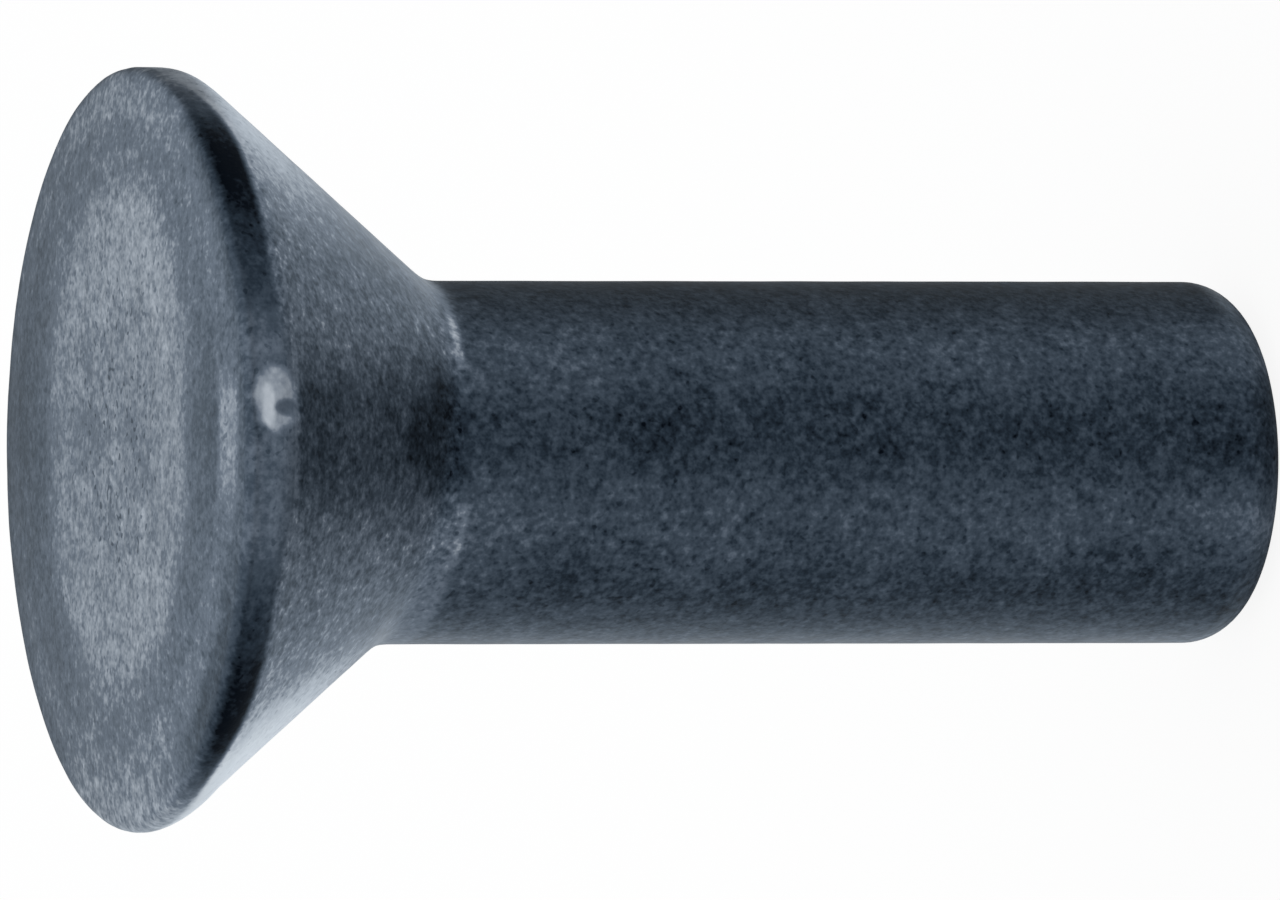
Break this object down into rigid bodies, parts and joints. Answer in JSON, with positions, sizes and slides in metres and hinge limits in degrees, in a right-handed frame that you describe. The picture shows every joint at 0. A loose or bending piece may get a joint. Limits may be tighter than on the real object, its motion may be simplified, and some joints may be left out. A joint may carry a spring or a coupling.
{
  "type": "countersunk rivet",
  "caption": "Solid steel countersunk rivet: a plain round shank under a conical head whose face ends flush with the sheet.",
  "frame": {"origin": "centre of the flat end of the tail, on which the rivet stands", "axes": "+Z along the shank's axis, from the tail up to the head's face; +X towards the side on which the head overhangs the shank the more, by 0.3 mm"},
  "size_m": [0.0104, 0.0104, 0.0164],
  "materials": {
    "steel": "satin"
  },
  "bodies": {
    "root": {"rivet": "steel"}
  },
  "joints": []
}
